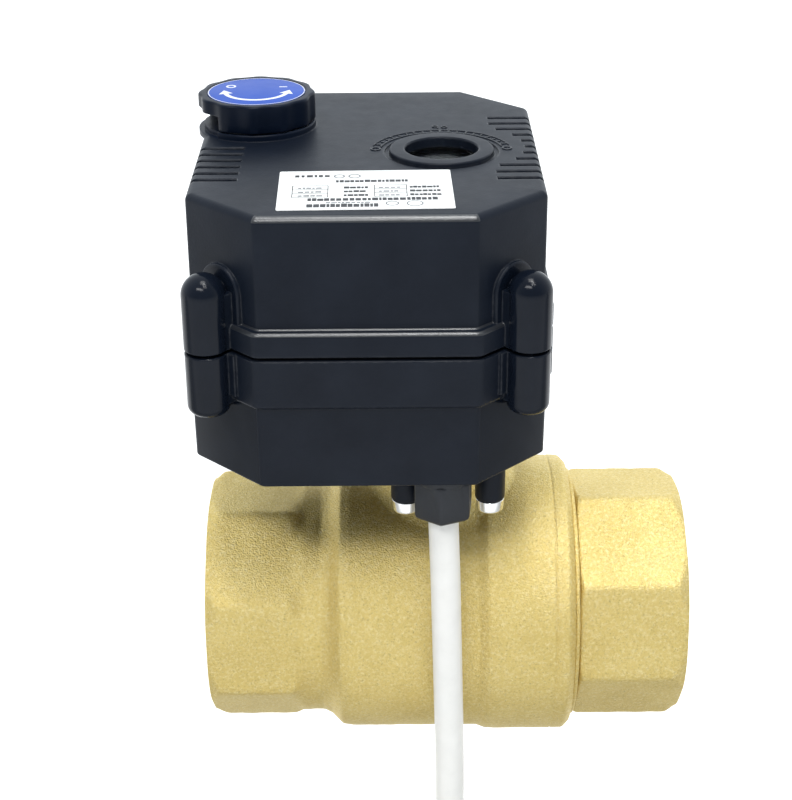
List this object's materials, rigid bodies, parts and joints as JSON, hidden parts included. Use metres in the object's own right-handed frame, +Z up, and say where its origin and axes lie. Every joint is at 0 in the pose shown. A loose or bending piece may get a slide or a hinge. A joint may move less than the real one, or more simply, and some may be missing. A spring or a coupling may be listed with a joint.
{
  "type": "motorized ball valve actuator",
  "caption": "Compact quarter-turn electric actuator with manual knob and position window on a two-way threaded brass ball valve, with a round cable.",
  "frame": {"origin": "centre of the mouth of the inlet thread, on the pipe axis", "axes": "+X along the pipe from the inlet to the outlet, +Z up the stem towards the actuator's top, -Y towards the side where the cable comes out"},
  "size_m": [0.081, 0.077, 0.2185],
  "materials": {
    "forged_brass": "shot-blasted forging, matt with a fine grain",
    "turned_brass": "bright turned",
    "ball_chrome": "polished",
    "white_ptfe": "smooth waxy white",
    "steel": "ground",
    "black_rubber": "matt",
    "housing_black": "fine spark texture, satin",
    "screw_steel": "nickel plated",
    "plate_steel": "zinc plated sheet",
    "acetal_gear": "moulded acetal",
    "knob_black": "satin, finely lobed",
    "blue_sticker": "laminated print",
    "indicator_grey": "smooth",
    "clear_window": "clear polycarbonate",
    "cam_orange": "moulded",
    "component_black": "moulded epoxy",
    "plunger_red": "moulded",
    "board_green": "solder mask over glass laminate",
    "white_label": "printed satin label",
    "cable_white": "soft satin PVC jacket",
    "tie_black": "flat moulded strap",
    "wire_red": "PVC insulation"
  },
  "bodies": {
    "valve_and_housing": {"valve_body": "forged_brass", "end_connector": "forged_brass", "end_connector_seal": "white_ptfe", "seat_inlet": "white_ptfe", "seat_outlet": "white_ptfe", "thrust_washer": "white_ptfe", "tower_washer": "steel", "tower_nut": "turned_brass", "locating_pins": "steel", "lower_housing": "housing_black", "upper_cover": "housing_black", "housing_seal": "black_rubber", "cover_screws": "screw_steel", "gearbox_screws": "screw_steel", "pillars": "steel", "lower_plate": "plate_steel", "upper_plate": "plate_steel", "plate_spacers": "turned_brass", "plate_screws": "screw_steel", "output_bush": "turned_brass", "gear_axles": "steel", "motor": "steel", "indicator_window": "clear_window", "window_seal": "black_rubber", "limit_switch_open": "component_black", "limit_switch_closed": "component_black", "circuit_board": "board_green", "board_parts": "component_black", "board_standoffs": "turned_brass", "board_screws": "screw_steel", "rating_label": "white_label", "cable_gland": "housing_black", "inner_leads": "wire_red", "cable": "cable_white", "cable_hank": "cable_white", "cable_tie": "tie_black", "wire_ends": "wire_red"},
    "valve_spindle": {"ball": "ball_chrome", "stem": "steel", "stem_o_rings": "black_rubber", "output_shaft": "steel", "output_gear": "acetal_gear", "switch_cam": "cam_orange", "indicator_disc": "indicator_grey"},
    "second_gear_body": {"second_gear": "acetal_gear"},
    "first_gear_body": {"first_gear": "acetal_gear"},
    "motor_rotor": {"motor_pinion": "turned_brass", "motor_shaft": "steel"},
    "knob_body": {"knob_gear": "acetal_gear", "knob_shaft": "steel", "knob_o_ring": "black_rubber", "manual_knob": "knob_black", "knob_sticker": "blue_sticker"},
    "plunger_open_body": {"plunger_open": "plunger_red"},
    "plunger_closed_body": {"plunger_closed": "plunger_red"}
  },
  "joints": [
    {"name": "valve_turn", "type": "hinge", "parent": "valve_and_housing", "child": "valve_spindle", "pos_m": [0.0395, 0, 0.06], "axis": [0, 0, -1], "range_deg": [0, 90]},
    {"name": "second_gear_spin", "type": "hinge", "parent": "valve_and_housing", "child": "second_gear_body", "pos_m": [0.02383, 0.00605, 0.06], "axis": [0, 0, -1], "range_deg": [-225.5, 0]},
    {"name": "first_gear_spin", "type": "hinge", "parent": "valve_and_housing", "child": "first_gear_body", "pos_m": [0.02256, -0.0084, 0.06], "axis": [0, 0, -1], "range_deg": [0, 863.5]},
    {"name": "motor_spin", "type": "hinge", "parent": "valve_and_housing", "child": "motor_rotor", "pos_m": [0.01485, -0.01759, 0.06], "axis": [0, 0, -1], "range_deg": [-2590.5, 0]},
    {"name": "knob_turn", "type": "hinge", "parent": "valve_and_housing", "child": "knob_body", "pos_m": [0.0095, 0.0152, 0.06], "axis": [0, 0, -1], "range_deg": [0, 471.45]},
    {"name": "open_switch_press", "type": "slide", "parent": "valve_and_housing", "child": "plunger_open_body", "axis": [0, -1, 0], "range_m": [0, 0.0004], "stiffness_N_per_m": 200, "springref_m": -0.0005},
    {"name": "closed_switch_press", "type": "slide", "parent": "valve_and_housing", "child": "plunger_closed_body", "axis": [-1, 0, 0], "range_m": [0, 0.0004], "stiffness_N_per_m": 200, "springref_m": -0.0005}
  ],
  "couplings": [
    {"joint": "second_gear_spin", "follows": "valve_turn", "ratio": -2.5},
    {"joint": "first_gear_spin", "follows": "valve_turn", "ratio": 9.5833},
    {"joint": "motor_spin", "follows": "valve_turn", "ratio": -28.75},
    {"joint": "knob_turn", "follows": "valve_turn", "ratio": 5.2273}
  ]
}
